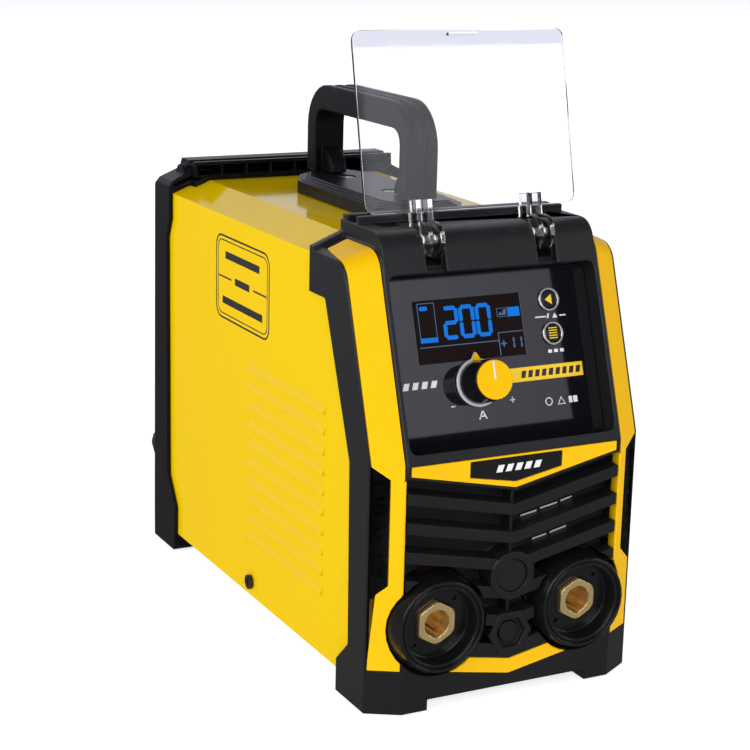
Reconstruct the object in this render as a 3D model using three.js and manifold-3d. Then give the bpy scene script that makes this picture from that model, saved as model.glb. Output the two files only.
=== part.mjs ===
// Stick welding inverter: a portable arc welding power source in a sheet-steel case.
// Millimetres, +Z up. The front faces -Y; x is across, y runs from the front plane to the rear.
import * as THREE from "three";
import { mergeVertices } from "three/addons/utils/BufferGeometryUtils.js";
import Module from "manifold-3d";

const wasm = await Module();
wasm.setup();

// ---------- driving dimensions ----------
const halfWidth = 75; // outside of both bezels
const socketFace = -3.7; // front of the socket collars, the foremost point
const glandEnd = 316; // tail of the cable gland, the rearmost point
const gap = 0.3; // between pieces that touch

const foldZ = 125.9; // height where the front face starts to lean back
const lean = (18.8 * Math.PI) / 180;
const facetStart = 58.6; // |x| where the corner facets start
const facetSlope = 0.585; // how far the corner facets fall back per mm of x
const cornerDrop = 0.4; // how far the corner tops fall per mm of x
const bezelTop = 229.5; // top of the bezel's middle
const cornerTop = 222.4; // top of its corners beside the middle
const rollRadius = 12; // round between the leaning face and the top
const frontDepth = 77; // rear edge of the front bezel
const wall = 3; // bezel wall

const sheetX = 72.5; // housing sheet, outside
const sheetSide = 213.5; // top of its side walls
const sheetTopX = 53; // half width of its flat top
const sheetTop = 221.3;
const sheetBottom = 10.9;
const sheetThick = 1.2;

const rearStart = 256; // front of the rear bezel's top plate
const rearEnd = 291; // rearmost line of its frame
const rearTop = 232;
const rearPlateX = 62.3; // half width of that plate
const rearCornerStart = 264; // front of the bezel beside it

const recessX = 57; // half width of the control recess
const recessLow = 4.65; // its lower edge, up the leaning face
const recessHigh = 89.1;
const recessDepth = 10; // from the rim to the fascia

const hingeY = 39; // axis of the clear cover
const hingeZ = 224;
const coverLean = (12.8 * Math.PI) / 180;

const socketX = 39.84; // welding sockets
const socketZ = 44.35;
const collarR = 23; // front edge of the socket collars
const collarBaseR = 25.6; // where they flare out into the panel
const socketBoreR = 6.75;
const collarSides = 32;

const knobX = -11.5; // knob axis, up the leaning face
const knobS = 35.6;
const knobSides = 28;
const buttonX = 34;
const buttonS = [72.4, 55.6];

const fanX = 8; // fan centre
const fanZ = 118;
const fanR = 42;
const glandX = -60;
const glandZ = 53;

// ---------- finishes ----------
const finish = {
  blackPlastic: [0x1c1e24, 0.55, 0],
  yellowPlastic: [0xf5ba00, 0.45, 0],
  yellowSheet: [0xf6cc00, 0.4, 0.1],
  clear: [0xe8eef2, 0.08, 0],
  fascia: [0x23242b, 0.15, 0],
  display: [0x160d0b, 0.1, 0],
  silver: [0xc9cbd0, 0.3, 0.8],
  brass: [0xe0b45c, 0.3, 1],
  steel: [0x9a9ca0, 0.4, 1],
  zinc: [0xb4b7ba, 0.45, 0.9],
  aluminium: [0xb9bcc1, 0.4, 1],
  copper: [0xc47a4a, 0.35, 1],
  board: [0x1d5a34, 0.5, 0],
  ferrite: [0x2c2c30, 0.7, 0],
  winding: [0xa4562c, 0.45, 0.6],
  rubber: [0x17181a, 0.85, 0],
};

// ---------- geometry helpers ----------
const xAxis = new THREE.Vector3(1, 0, 0);
const yAxis = new THREE.Vector3(0, 1, 0);
const zAxis = new THREE.Vector3(0, 0, 1);

function solid(geometry) {
  const bare = geometry.index ? geometry.toNonIndexed() : geometry.clone();
  bare.deleteAttribute("normal");
  bare.deleteAttribute("uv");
  const merged = mergeVertices(bare, 1e-4);
  const mesh = new wasm.Mesh({
    numProp: 3,
    vertProperties: new Float32Array(merged.attributes.position.array),
    triVerts: new Uint32Array(merged.index.array),
  });
  mesh.merge();
  return new wasm.Manifold(mesh);
}

function geometryOf(manifold) {
  const mesh = manifold.getMesh();
  const geometry = new THREE.BufferGeometry();
  geometry.setAttribute("position", new THREE.BufferAttribute(mesh.vertProperties, 3));
  geometry.setIndex(new THREE.BufferAttribute(mesh.triVerts, 1));
  return geometry;
}

function extruded(points, depth) {
  const shape = new THREE.Shape(points.map(([a, b]) => new THREE.Vector2(a, b)));
  return new THREE.ExtrudeGeometry(shape, { depth, bevelEnabled: false });
}

// points are (y, z)
function alongX(points, x0, x1, change) {
  const geometry = extruded(points, x1 - x0);
  geometry.applyMatrix4(new THREE.Matrix4().makeBasis(yAxis, zAxis, xAxis));
  geometry.translate(x0, 0, 0);
  if (change) geometry.applyMatrix4(change);
  return solid(geometry);
}

// points are (x, z)
function alongY(points, y0, y1, change) {
  const geometry = extruded(points, y1 - y0);
  const back = yAxis.clone().negate();
  geometry.applyMatrix4(new THREE.Matrix4().makeBasis(xAxis, zAxis, back));
  geometry.translate(0, y1, 0);
  if (change) geometry.applyMatrix4(change);
  return solid(geometry);
}

// points are (x, y)
function alongZ(points, z0, z1) {
  const geometry = extruded(points, z1 - z0);
  geometry.translate(0, 0, z0);
  return solid(geometry);
}

function box(x0, x1, y0, y1, z0, z1, change) {
  const geometry = new THREE.BoxGeometry(x1 - x0, y1 - y0, z1 - z0);
  geometry.translate((x0 + x1) / 2, (y0 + y1) / 2, (z0 + z1) / 2);
  if (change) geometry.applyMatrix4(change);
  return solid(geometry);
}

function arc(a, b, r, from, to, steps) {
  const points = [];
  for (let i = 0; i <= steps; i++) {
    const t = ((from + ((to - from) * i) / steps) * Math.PI) / 180;
    points.push([a + r * Math.cos(t), b + r * Math.sin(t)]);
  }
  return points;
}

function polygon(a, b, r, sides, turn = 0) {
  return arc(a, b, r, turn, turn + (360 * (sides - 1)) / sides, sides - 1);
}

function roundBox(a0, a1, b0, b1, r, steps = 3) {
  return [
    ...arc(a1 - r, b1 - r, r, 0, 90, steps),
    ...arc(a0 + r, b1 - r, r, 90, 180, steps),
    ...arc(a0 + r, b0 + r, r, 180, 270, steps),
    ...arc(a1 - r, b0 + r, r, 270, 360, steps),
  ];
}

// a turned profile has to run anticlockwise for its faces to point out
function anticlockwise(profile) {
  const points = profile.map(([a, b]) => new THREE.Vector2(a, b));
  return THREE.ShapeUtils.isClockWise(points) ? points.reverse() : points;
}

// profile is (radius, y): a turned piece about a line along Y through (x, z)
function turnedY(profile, x, z, sides = 32, change) {
  const points = anticlockwise(profile);
  const geometry = new THREE.LatheGeometry(points, sides);
  geometry.translate(x, 0, z);
  if (change) geometry.applyMatrix4(change);
  return solid(geometry);
}

function closedRing(r0, r1, y0, y1) {
  return [[r0, y0], [r1, y0], [r1, y1], [r0, y1], [r0, y0]];
}

function joined(pieces) {
  return pieces.reduce((whole, piece) => whole.add(piece));
}

function without(body, cuts) {
  return cuts.reduce((left, cut) => left.subtract(cut), body);
}

function mirrored(points) {
  return points.map(([x, z]) => [-x, z]).reverse();
}

// both halves of an outline that is the same left and right; points run up the right side
function bothSides(points) {
  return [...points, ...mirrored(points)];
}

// ---------- the scene graph ----------
const machine = new THREE.Group();
const leaning = new THREE.Group(); // x across, y into the panel, z up the leaning face
leaning.position.set(0, 0, foldZ);
leaning.rotation.x = -lean;
const coverFrame = new THREE.Group(); // the open cover: z up along its plate, y behind it
coverFrame.position.set(0, hingeY, hingeZ);
coverFrame.rotation.x = -coverLean;
machine.add(leaning, coverFrame);
leaning.updateMatrix();
const leanMatrix = leaning.matrix.clone();

function add(name, shape, look, group = machine) {
  const [color, roughness, metalness] = finish[look];
  const material = new THREE.MeshStandardMaterial({ color, roughness, metalness });
  if (look === "clear") Object.assign(material, { transparent: true, opacity: 0.35 });
  const mesh = new THREE.Mesh(geometryOf(shape), material);
  mesh.name = name;
  group.add(mesh);
}

// ---------- front bezel ----------
function frontProfile(inset, bottom, top, rear) {
  const centreZ = top - rollRadius;
  const centreY = Math.tan(lean) * (centreZ - foldZ) + rollRadius / Math.cos(lean);
  return [
    [rear, bottom],
    [rear, top - inset],
    ...arc(centreY, centreZ, rollRadius - inset, 90, 180 - (lean * 180) / Math.PI, 6),
    [inset, foldZ - foldShift(inset)],
    [inset, bottom],
  ];
}

function foldShift(inset) {
  return (inset * (1 - Math.cos(lean))) / Math.sin(lean);
}

function shear(side, start, pushBack, drop) {
  const matrix = new THREE.Matrix4();
  matrix.elements[1] = side * pushBack; // y from x
  matrix.elements[2] = -side * drop; // z from x
  matrix.elements[13] = -pushBack * start;
  matrix.elements[14] = drop * start;
  return matrix;
}

// the bezel's outer block, with its faces moved in by inset, and its sides by sideInset
function bezelBlock(inset, bottom, rear = frontDepth, sideInset = inset) {
  const across = Math.sqrt(1 + facetSlope ** 2);
  const start = facetStart - (inset * (across - 1)) / facetSlope;
  const foldAt = foldZ - foldShift(inset);
  const back = rear + 20;
  const pieces = [alongX(frontProfile(inset, bottom, bezelTop, back), -start, start)];
  const lower = [[inset, bottom], [back, bottom], [back, foldAt], [inset, foldAt]];
  const upper = frontProfile(inset, foldAt - 30, cornerTop, back);
  const below = box(-80, 80, -20, 140, -60, foldAt);
  for (const side of [-1, 1]) {
    const near = side * start;
    const far = side * (halfWidth - sideInset);
    const [x0, x1] = [Math.min(near, far), Math.max(near, far)];
    pieces.push(alongX(lower, x0, x1, shear(side, start, facetSlope, 0)));
    const push = facetSlope - cornerDrop * Math.tan(lean);
    const tilted = alongX(upper, x0, x1, shear(side, start, push, cornerDrop));
    pieces.push(tilted.subtract(below));
  }
  return joined(pieces).subtract(box(-80, 80, rear, 140, -1, 250));
}

// housing sheet outline, right side from the bottom up
function sheetOutline(grow) {
  return [
    [sheetX + grow, sheetBottom - grow],
    [sheetX + grow, sheetSide + grow * 0.8],
    [sheetTopX + grow * 0.2, sheetTop + grow],
  ];
}

// everything in front of the housing sheet's leaning front edge
function aheadOfSheet(grow) {
  const start = 22 - grow;
  const slope = Math.tan(lean);
  return alongX(
    [[-20, -20], [start, -20], [start, foldZ], [start + slope * 130, foldZ + 130], [-20, foldZ + 130]],
    -90,
    90,
  );
}

function sheetBlock(grow, y1) {
  return alongY(bothSides(sheetOutline(grow)), 20 - grow, y1).subtract(aheadOfSheet(grow));
}

const slatSlope = 0.214; // how fast the V-shaped slats fall towards the middle
const slatPitch = 14.4;
const slatTall = 5.8;
const slatTopEdge = 109.7; // middle of the top slat at its outer end
const grilleX = 59; // half width of the grille
const grilleDepth = 12;
const slatCount = 5;

// outline between two V lines: heights are those at the outer ends
function veeBand(low, high, x = grilleX, slope = slatSlope) {
  return [[x, low], [x, high], [0, high - slope * x], [-x, high], [-x, low], [0, low - slope * x]];
}

const trimInset = 1.5;
const trimLow = 23.3;
const gripLow = 59.4;
const gripHigh = 124.9;

function trimOutline(side, grow) {
  const inner = 60 - grow;
  const outer = 73.6 + grow;
  const waist = 65.6 + grow;
  const points = [
    [inner, trimLow - grow], [outer, trimLow - grow], [outer, gripLow], [waist, gripLow + 7.6],
    [waist, gripHigh - 6.1], [outer, gripHigh], [outer, 240], [inner, 240],
  ];
  return side > 0 ? points : mirrored(points);
}

function gripOutline(side, grow) {
  const outer = 73.6 + grow;
  const waist = 66.2 - grow;
  const points = [
    [outer, gripLow + 0.7 - grow], [outer, gripHigh - 0.7 + grow],
    [waist, gripHigh - 6.7 + grow], [waist, gripLow + 8 - grow],
  ];
  return side > 0 ? points : mirrored(points);
}

function acrossSide(side, near, far, y0, y1, z0, z1) {
  return side > 0 ? box(near, far, y0, y1, z0, z1) : box(-far, -near, y0, y1, z0, z1);
}

const outer = bezelBlock(0, 0);
const underTrim = blockUnder(trimInset);
const pocketFloor = blockUnder(trimInset + gap);
const underGrip = blockUnder(3.6);
const gripFloor = blockUnder(3.9);
const notchFloor = blockUnder(2.8);

// a block for taking a skin off the front and top only
function blockUnder(inset) {
  return bezelBlock(inset, -5, frontDepth + 5, -1);
}

function skin(under, outline, rear) {
  return outer.subtract(under).intersect(alongY(outline, -5, rear));
}

// what a skin leaves room for: from the open air down to the block under it
function pocket(under, outline, rear) {
  return alongY(outline, -5, rear).subtract(under);
}

const rimFront = 72.5; // front of the rear rim
const trimRear = 66.3; // where the trims end, short of that rim
const flange = { inner: 59.3, outer: 60.8, depth: 6.5, low: 62, high: 118.6 };

// the trims narrow towards the rear on top of the bezel
function trimTaper(side, grow, rear) {
  const [wide, narrow] = [73.6 + grow, 70.5 + grow];
  const points = [[50, -10], [wide, -10], [wide, 48], [narrow, trimRear], [narrow, rear], [50, rear]];
  return alongZ(side > 0 ? points : mirrored(points), 0, 260);
}

function cornerTrim(side) {
  const plate = skin(underTrim, trimOutline(side, 0), trimRear).intersect(trimTaper(side, 0, trimRear + 1));
  const inward = acrossSide(side, flange.inner, flange.outer, 0.6, flange.depth, flange.low, flange.high);
  return plate.add(inward).subtract(collarRoom(side, 0.9));
}

function closedDisc(r, y0, y1) {
  return [[0, y0], [r, y0], [r, y1], [0, y1]];
}

// what the pieces round a socket leave free for its collar
function collarRoom(side, clearance) {
  return turnedY(closedDisc(collarBaseR + clearance, -10, 60), side * socketX, socketZ, collarSides);
}

const gripRear = 13.2;
const notch = { count: 7, low: 71.6, pitch: 7.4 };

// a dark block with notches cut in from its inner edge, each narrowing outwards to a point
function gripInsert(side) {
  let insert = skin(underGrip, gripOutline(side, 0), gripRear);
  for (let i = 0; i < notch.count; i++) {
    const z = notch.low + notch.pitch * i;
    const wedge = [
      [60, z - 1.8], [68.2, z - 1.5], [68.4, z + 0.2], [72.9, z + 0.9], [68.4, z + 2.4], [60, z + 2.6],
    ];
    const cut = alongY(side > 0 ? wedge : mirrored(wedge), -5, gripRear + 1);
    insert = insert.subtract(cut.subtract(notchFloor));
  }
  return insert;
}

const bandX = 57;
const bandTop = 125.2;

function namePlate(grow) {
  const x = 25.3 + grow;
  const [low, high] = [116.5 - grow, 123.8 + grow];
  return alongY([[x, low], [x, high], [-x, high], [-x, low], [0, low - 4.7]], -grow, trimInset + grow);
}

function upperBandOutline(grow) {
  const low = 120.5 - grow;
  const x = bandX + grow;
  const top = bandTop + grow;
  return [[x, low], [x, top], [-x, top], [-x, low], [0, low - 12]];
}

function lowerBandOutline(grow) {
  const right = [[34, 19 - grow], [36 + grow, 19.6], [24.4, 25 + grow]];
  return [[0, 12.6 - grow], ...right, [0, 20.3 + grow], ...mirrored(right)];
}

function slatOutline(index) {
  const middle = slatTopEdge - slatPitch * index;
  return veeBand(middle - slatTall / 2, middle + slatTall / 2, facetStart - 0.1);
}

// short slots through the wall behind the slats, close under each slat
const airSlot = { starts: [8, 21, 34], long: 10, tall: 1.6 };
function airSlots() {
  const slots = [];
  for (let row = 0; row < slatCount - 1; row++) {
    const top = slatTopEdge - slatTall / 2 - slatPitch * row - 1.2;
    for (const side of [-1, 1]) {
      for (const near of airSlot.starts) {
        const far = near + airSlot.long;
        const [highNear, highFar] = [near, far].map((x) => top - slatSlope * (grilleX - x));
        const points = [
          [near, highNear - airSlot.tall], [far, highFar - airSlot.tall], [far, highFar], [near, highNear],
        ];
        slots.push(alongY(side > 0 ? points : mirrored(points), grilleDepth - 2, grilleDepth + 5));
      }
    }
  }
  return slots;
}

const bossRound = { z: 63.5, r: 12.3, plug: 8.2 };
const bossHex = { z: 34, r: 12.2, pocket: 8.6, plug: 5.2 };

function hingeSlot(side, grow) {
  return side > 0 ? [25.3 - grow, 36.2 + grow] : [-36.2 - grow, -25.3 + grow];
}

function hingePocket(side) {
  const [x0, x1] = hingeSlot(side, 2.4);
  return alongX([[34, 207.5], [53.6, 207.5], [53.6, 227], [36, 227]], x0, x1);
}

function hingeCut(side) {
  const [x0, x1] = hingeSlot(side, 0);
  const slot = alongX([[20, 212.2], [48, 212.2], [51.2, 216], [51.2, 240], [20, 240]], x0, x1);
  return slot.add(alongX([[20, 205], [33, 205], [33, 240], [20, 240]], x0, x1));
}

function pinHole(side, r) {
  const x0 = side > 0 ? 23.6 : -37.8;
  return alongX(polygon(hingeY, hingeZ, r, 12), x0, x0 + 14.2);
}

// the lip that stands up behind the corner trims
function cornerRim(side) {
  const points = [[57.3, 212], [halfWidth, 205], [halfWidth, 217.6], [57.3, 224.7]];
  return alongY(side > 0 ? points : mirrored(points), rimFront, frontDepth);
}

// a shallow pocket in the top, outboard of each hinge slot, with two ribs standing in it
function topPocket(side) {
  const ribs = [42.4, 45.8].map((x) => acrossSide(side, x, x + 0.9, 48, 61, 220, 228));
  return without(acrossSide(side, 39, 50, 49, 59.5, 225.5, 240), ribs);
}

function frontPanel() {
  const behind = alongX(
    [[40, -1], [40, 18], [27.5, 30], [29.7, 122], [59, 194.5], [60, 195], [78, 195], [78, -1]], -80, 80,
  );
  const inside = bezelBlock(wall + 0.3, 10.6, 72);
  const rims = [-1, 1].map((side) => cornerRim(side));
  let panel = joined([outer.subtract(inside), ...rims]).subtract(sheetBlock(gap, 90)).subtract(behind);
  const rail = box(-57.3, 57.3, 60, 63, 228, 233);
  const rim = box(-57.3, 57.3, rimFront, frontDepth, 222.3, 232);
  const topFloor = box(-57.3, 57.3, 47, frontDepth, 222, 226.5);
  const leaningFrame = box(-59, 59, 1.5, 13, recessLow - 2, recessHigh + 2, leanMatrix);
  const wallBack = grilleDepth + 2.6;
  const backWall = box(-62, 62, grilleDepth, wallBack, 71, 122)
    .add(box(-58.4, 58.4, grilleDepth, wallBack, 26, 72));
  const pockets = [-1, 1].map(hingePocket);
  panel = joined([panel, rail, rim, topFloor, leaningFrame, backWall, ...pockets]);
  const groove = box(-56, 56, 64.5, rimFront, 224.6, 240);
  const recess = alongY(roundBox(-recessX, recessX, recessLow, recessHigh, 4), -20, 20, leanMatrix);
  const grille = alongY(veeBand(40.1, 119.6), -5, grilleDepth);
  const footGap = box(-44.9, 44.9, -5, 50, -1, 6.5);
  const trims = [-1, 1].flatMap((side) => [
    pocket(pocketFloor, trimOutline(side, gap), rimFront).intersect(trimTaper(side, gap, rimFront)),
    acrossSide(side, flange.inner - gap, flange.outer + gap, -1, flange.depth + gap, 61.7, 118.9),
    pocket(gripFloor, gripOutline(side, gap), gripRear + gap),
  ]);
  const bands = [
    alongY(upperBandOutline(gap), -5, trimInset + gap),
    alongY(lowerBandOutline(gap), -5, trimInset + gap),
  ];
  const cuts = [recess, grille, footGap, groove, ...trims, ...bands];
  panel = without(panel, [...cuts, ...[-1, 1].flatMap((side) => [hingeCut(side), topPocket(side)])]);
  const slats = Array.from({ length: slatCount }, (_, i) => alongY(slatOutline(i), 0, grilleDepth + 0.5));
  const rib = box(-0.8, 0.8, 3, grilleDepth + 0.5, 30, 106);
  const round = turnedY(closedDisc(bossRound.r, -0.6, grilleDepth + 0.5), 0, bossRound.z, 40);
  const hex = alongY(polygon(0, bossHex.z, bossHex.r, 6), -0.6, grilleDepth + 0.5);
  panel = joined([panel, ...slats, rib, round, hex]);
  const plugHole = turnedY(closedDisc(bossRound.plug + gap, -5, 3), 0, bossRound.z, 32);
  const hexHole = alongY(polygon(0, bossHex.z, bossHex.pocket, 6), -5, 2.2);
  const hexPlug = turnedY(closedDisc(bossHex.plug + gap, -5, 5), 0, bossHex.z, 24);
  const sockets = [-1, 1].map((side) => collarRoom(side, 0.6));
  const pins = [-1, 1].map((side) => pinHole(side, 2.3));
  const pads = footPads.slice(0, 2).map((pad) => padPocket(pad));
  return without(panel, [plugHole, hexHole, hexPlug, ...sockets, ...airSlots(), ...pins, ...pads]);
}

// ---------- feet ----------
const footBottom = 1;
const footPads = [
  { name: "front_left_foot_pad", x: [-71, -49], y: [11, 36] },
  { name: "front_right_foot_pad", x: [49, 71], y: [11, 36] },
  { name: "rear_left_foot_pad", x: [-71, -49], y: [265, 287] },
  { name: "rear_right_foot_pad", x: [49, 71], y: [265, 287] },
];

function padPocket(pad) {
  return box(pad.x[0] - gap, pad.x[1] + gap, pad.y[0] - gap, pad.y[1] + gap, -1, 3.3)
    .add(box(-80, 80, -5, 300, -1, footBottom));
}

function footPad(pad) {
  const plate = box(pad.x[0], pad.x[1], pad.y[0], pad.y[1], footBottom, 3);
  const ribs = [0, 1, 2, 3].map((i) => {
    const x = pad.x[0] + 1.5 + i * 5.4;
    return box(x, x + 2.8, pad.y[0] + 1, pad.y[1] - 1, 0, footBottom + 0.5);
  });
  return joined([plate, ...ribs]);
}

// ---------- control panel ----------
const windowX = [-41, 17.6];
const windowS = [47.2, 76.7];
const fasciaThick = 1.6;

function fascia() {
  const plate = alongY(
    roundBox(-recessX + gap, recessX - gap, recessLow + gap, recessHigh - gap, 3.8),
    recessDepth, recessDepth + fasciaThick,
  );
  const [x0, x1] = windowX;
  const [s0, s1] = windowS;
  const window = box(x0 - gap, x1 + gap, 0, 20, s0 - gap, s1 + gap);
  const shaft = turnedY(closedDisc(4.5, 0, 20), knobX, knobS, 24);
  const buttons = buttonS.map((s) => turnedY(closedDisc(5.5, 0, 20), buttonX, s, 24));
  return without(plate, [window, shaft, ...buttons]);
}

function buttonRing(s) {
  const flangeFront = recessDepth - 1.1;
  const profile = [
    [4.7, flangeFront], [5.8, flangeFront], [5.8, recessDepth - gap], [5.2, recessDepth - gap],
    [5.2, recessDepth + 2.4], [4.7, recessDepth + 2.4], [4.7, flangeFront],
  ];
  return turnedY(profile, buttonX, s, 28);
}

function pushButton(s) {
  const profile = [
    [0, recessDepth - 0.9], [4, recessDepth - 0.9], [4.4, recessDepth - 0.5],
    [4.4, recessDepth + 4], [0, recessDepth + 4],
  ];
  return turnedY(profile, buttonX, s, 24);
}

function knobGrip() {
  const profile = [
    [3.3, 8.1], [10.6, 8.1], [9.9, -6], [9.6, -6.3], [6.3, -6.3], [6.3, -3.8], [3.3, -3.8], [3.3, 8.1],
  ];
  return turnedY(profile, knobX, knobS, knobSides);
}

function knobSkirt() {
  const ring = turnedY(closedRing(3.4, 11.8, 8.4, 9.5), knobX, knobS, knobSides);
  const tip = [[knobX - 2.6, knobS + 11], [knobX + 2.6, knobS + 11], [knobX, knobS + 15]];
  return ring.add(alongY(tip, 8.4, 9.5));
}

function knobCap() {
  const profile = [[0, -8], [9.2, -8], [9.5, -7.6], [9.5, -6.6], [6, -6.6], [6, -4.1], [0, -4.1]];
  return turnedY(profile, knobX, knobS, knobSides);
}

function encoderBody() {
  const body = box(knobX - 6, knobX + 6, 13, 18, knobS - 6, knobS + 6);
  const neck = turnedY(closedRing(3.4, 4.2, 10, 13.5), knobX, knobS, 20);
  return body.add(neck).subtract(turnedY(closedDisc(3.4, 9, 15), knobX, knobS, 20));
}

function encoderShaft() {
  return turnedY(closedDisc(3, -3.4, 14.6), knobX, knobS, 20);
}

function controlBoard() {
  const plate = box(-52, 52, 18.4, 20, 10, 84);
  const switches = buttonS.map((s) => box(buttonX - 3, buttonX + 3, 15.2, 18.6, s - 3, s + 3));
  return joined([plate, ...switches]);
}

// ---------- clear cover ----------
const plateFront = 8.2;
const plateBack = 10.2;
const plateLow = 13.7;
const plateHigh = 100.5;
const armInner = [26.1, 32.4];
const armThick = 2.5;
const armR = 8.8;

function clearCover() {
  const plate = alongY(roundBox(-58.5, 58.5, plateLow, plateHigh, 5, 4), plateFront, plateBack);
  const armOutline = [
    [plateFront + 0.5, 19.5], [1.5, 19.5], ...arc(0, 0, armR, 80, 360, 14), [plateBack, 8], [plateBack, 19.5],
  ];
  const arms = [-1, 1].flatMap((side) => armInner.map((near) => {
    const x0 = side > 0 ? near : -near - armThick;
    return alongX(armOutline, x0, x0 + armThick);
  }));
  const bore = alongX(polygon(0, 0, 2.35, 16), -50, 50);
  const tab = box(-8, 8, 5.4, plateFront + 0.2, 97, 98.6);
  return joined([plate, ...arms, tab]).subtract(bore);
}

function hingePin(side) {
  return pinHole(side, 2);
}

// ---------- welding sockets ----------
const socketFloor = 4.5; // bottom of the collar's bowl, round the brass
const brassFront = 2;
const keyDrop = 4.7; // the key lobe's centre below the bore's
function socketBody(side) {
  const x = side * socketX;
  const profile = [
    [21.6, socketFace], [collarR, socketFace], [collarBaseR, 4], [collarBaseR, 9], [17, 9], [17, 26], [9, 26],
    [9, socketFloor], [18.2, socketFloor], [19.4, -3], [20.6, -3], [20.6, -2.2], [21.6, -2.2],
    [21.6, socketFace],
  ];
  const cup = turnedY(profile, x, socketZ, collarSides);
  const hexHole = alongY(polygon(x, socketZ, 11.6, 6, 90), 0, 13);
  const rivets = [45, 225].map((turn) => {
    const t = (turn * Math.PI) / 180;
    return turnedY(closedDisc(1.1, 0, 7), x + 15 * Math.cos(t), socketZ + 15 * Math.sin(t), 12);
  });
  return without(cup, [hexHole, ...rivets]);
}

function socketBrass(side) {
  const x = side * socketX;
  const blank = [[0, brassFront], [10.2, brassFront], [11.4, brassFront + 1.2], [11.4, 13], [0, 13]];
  const hex = alongY(polygon(x, socketZ, 11.25, 6, 90), 1, 12.6).intersect(turnedY(blank, x, socketZ, 32));
  const stem = turnedY(closedDisc(8.6, 12, 34), x, socketZ, 32);
  const bore = turnedY(closedDisc(socketBoreR, -2, 27), x, socketZ, 32);
  const key = turnedY(closedDisc(2.9, -2, 19), x, socketZ - keyDrop, 16);
  return without(hex.add(stem), [bore, key]);
}

function busBar(side) {
  const x = side * socketX;
  const bent = [
    [34.4, 38], [36.4, 38], [36.4, 84], [104, 84], [104, 93.4], [102, 93.4], [102, 86], [34.4, 86],
  ];
  return alongX(bent, x - 6, x + 6);
}

// ---------- housing ----------
const louvre = { rows: 10, low: 45, pitch: 10.4, y0: 61, y1: 154 };

function louvreHoods(side) {
  const hoods = [];
  const vents = [];
  for (let row = 0; row < louvre.rows; row++) {
    const z = louvre.low + louvre.pitch * row;
    const outside = [[72, z + 3.4], [74.3, z - 1.4], [74.3, z - 1.8], [72, z - 1.8]];
    const inside = [[71, z + 3.2], [73.4, z - 1.6], [73.4, z - 2.4], [71, z - 2.4]];
    const turn = (points) => (side > 0 ? points : mirrored(points));
    hoods.push(alongY(turn(outside), louvre.y0, louvre.y1));
    vents.push(alongY(turn(inside), louvre.y0 + 1, louvre.y1 - 1));
  }
  return { hoods, vents };
}

const sideScrew = { y: 150, z: 19 };

function housingCover() {
  const y1 = 280;
  const shell = sheetBlock(0, y1);
  const innerOutline = bothSides([
    [sheetX - sheetThick, -5],
    [sheetX - sheetThick, sheetSide - 0.8],
    [sheetTopX - 0.25, sheetTop - sheetThick],
  ]);
  let cover = shell.subtract(alongY(innerOutline, 0, y1 + 5));
  for (const side of [-1, 1]) {
    const { hoods, vents } = louvreHoods(side);
    cover = joined([cover, ...hoods]);
    cover = without(cover, vents);
  }
  const screwHole = alongX(polygon(sideScrew.y, sideScrew.z, 2.3, 12), -90, 90);
  const handleHoles = handleScrews.map(([x, y]) => turnedZ(closedDisc(2.6, 215, 225), x, y, 12));
  return without(cover, [screwHole, ...handleHoles]);
}

function turnedZ(profile, x, y, sides) {
  const points = anticlockwise(profile);
  const geometry = new THREE.LatheGeometry(points, sides);
  geometry.rotateX(Math.PI / 2);
  geometry.translate(x, y, 0);
  return solid(geometry);
}

function sideScrewPiece(side) {
  const { y, z } = sideScrew;
  const [head, shank] = [[4, sheetX + gap, sheetX + 2.2], [2, 64, sheetX + 1]].map(([r, near, far]) =>
    alongX(polygon(y, z, r, 12), side > 0 ? near : -far, side > 0 ? far : -near));
  const slots = [[2.4, 0.5], [0.5, 2.4]].map(([a, b]) =>
    acrossSide(side, sheetX + 1.4, sheetX + 4, y - a, y + a, z - b, z + b));
  return without(head.add(shank), slots);
}

function chassisTray() {
  const y0 = 13;
  const y1 = 276;
  const outline = bothSides([[70.9, sheetBottom + 0.1], [70.9, 30], [69.5, 30], [69.5, 12.5]]);
  let tray = alongY(outline, y0, y1);
  for (let i = 0; i < 5; i++) {
    const y = 60 + i * 40;
    tray = tray.subtract(box(-30, 30, y, y + 6, 5, 20));
  }
  const holes = alongX(polygon(sideScrew.y, sideScrew.z, 2.3, 12), -90, 90);
  const frontNotch = box(-80, 80, 0, 45, 20, 40);
  return without(tray, [holes, frontNotch]);
}

// ---------- handle ----------
const handleFront = 103;
const handleRear = 222;
const handleTop = 280;
const baseTop = 231;
const baseFlat = 228.5;
const handleScrews = [[0, 137], [0, 189]];

function handleSection(x0, x1, inset) {
  const [y0, y1, top] = [handleFront + inset, handleRear - inset, handleTop - inset];
  const r = 24 - inset;
  const outline = [
    [y1, baseTop + gap], ...arc(y1 - r, top - r, r, 0, 90, 7), ...arc(y0 + r, top - r, r, 90, 180, 7),
    [y0, baseTop + gap],
  ];
  return alongX(outline, x0, x1);
}

function carryHandle() {
  const inset = 1.6;
  const solidPart = joined([
    handleSection(-8.8, 8.8, inset),
    handleSection(-8.8, -5, 0),
    handleSection(-1.5, 1.5, 0),
    handleSection(5, 8.8, 0),
  ]);
  const opening = alongX(roundBox(113, 211, 200, 266, 8, 4), -20, 20);
  const gussets = [[113, 0, 90], [211, 90, 180]].map(([y, from, to]) =>
    alongX([[y, baseTop + gap], ...arc(y, baseTop + gap, 13, from, to, 8)], -4.5, 4.5));
  return joined([solidPart.subtract(opening), ...gussets]);
}

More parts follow.
